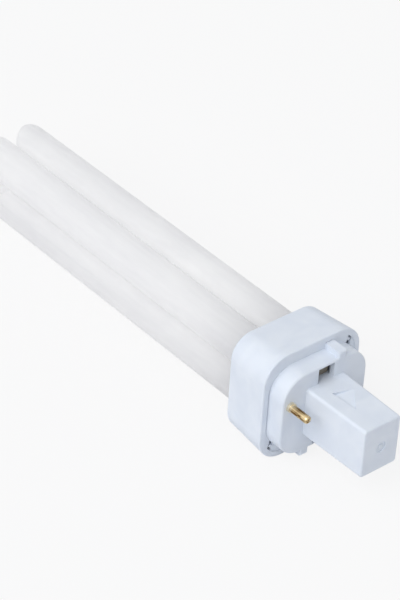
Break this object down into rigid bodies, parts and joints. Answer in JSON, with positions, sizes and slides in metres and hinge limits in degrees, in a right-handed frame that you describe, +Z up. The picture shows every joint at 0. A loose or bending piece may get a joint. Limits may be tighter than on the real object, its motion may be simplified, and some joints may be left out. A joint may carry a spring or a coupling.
{
  "type": "plug-in compact fluorescent lamp",
  "caption": "Plug-in compact fluorescent lamp: twin white U tubes in a square plastic collar, with a keyed plug, starter post and brass contact pins.",
  "frame": {"origin": "on the lamp axis, in the platform face that seats against the lamp holder, where the post leaves it", "axes": "+X along the lamp axis, out of the plug end; -X along the glass; +Z up, along the plane of each bent tube; the left pin is on the -Y side"},
  "size_m": [0.1715, 0.0352, 0.0352],
  "materials": {
    "coated_glass": "clear gloss glass over a white inner coat",
    "housing_plastic": "moulded satin, cool white",
    "basing_cement": "matt, poured",
    "pin_brass": "drawn, bright",
    "tinned_wire": "tinned, dull",
    "starter_glass": "clear blown glass",
    "capacitor_dip": "dipped brown resin"
  },
  "bodies": {
    "root": {"discharge_tube": "coated_glass", "collar": "housing_plastic", "plug_cap": "housing_plastic", "tube_cement": "basing_cement", "contact_pin_left": "pin_brass", "contact_pin_right": "pin_brass", "pin_lead_left": "tinned_wire", "pin_lead_right": "tinned_wire", "starter_bulb": "starter_glass", "starter_lead_left": "tinned_wire", "starter_lead_right": "tinned_wire", "splice_left": "pin_brass", "splice_right": "pin_brass", "starter_capacitor": "capacitor_dip", "capacitor_lead_left": "tinned_wire", "capacitor_lead_right": "tinned_wire"}
  },
  "joints": []
}
